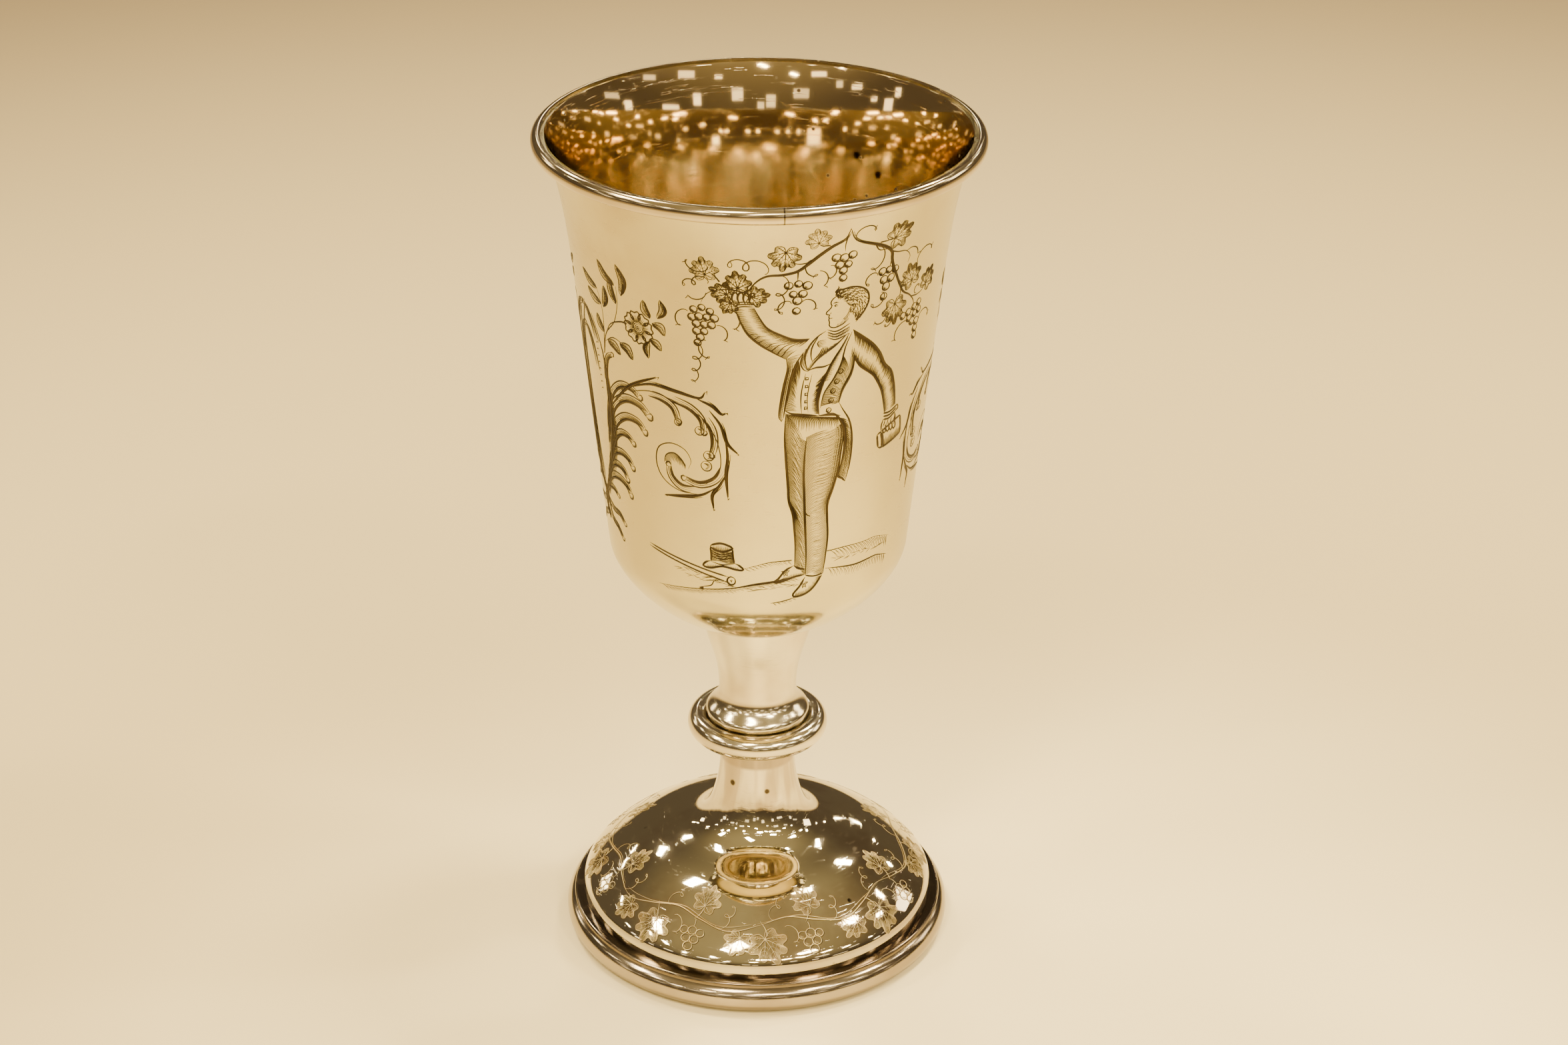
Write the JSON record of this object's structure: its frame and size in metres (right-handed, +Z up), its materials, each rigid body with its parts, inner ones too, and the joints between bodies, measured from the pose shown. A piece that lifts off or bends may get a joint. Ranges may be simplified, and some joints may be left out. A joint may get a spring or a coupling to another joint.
{
  "type": "communion cup",
  "caption": "Silver communion cup: a tall bell-shaped bowl gilded inside, on a waisted stem with a knop ring and a domed foot, engraved with a vine and figure.",
  "frame": {"origin": "middle of the standing ring, on the surface the cup stands on", "axes": "+Z up along the axis the cup is turned on; -Y is the engraved figure's side, seen in the picture"},
  "size_m": [0.0942, 0.0942, 0.1899],
  "materials": {
    "bowl": "silver, softly polished outside and gilded inside",
    "silver": "polished silver with light wear and tarnish"
  },
  "bodies": {
    "root": {"base_moulding": "silver", "foot": "silver", "knop_ring": "silver", "stem": "silver", "bowl": "bowl", "rim_wire": "silver"}
  },
  "joints": []
}
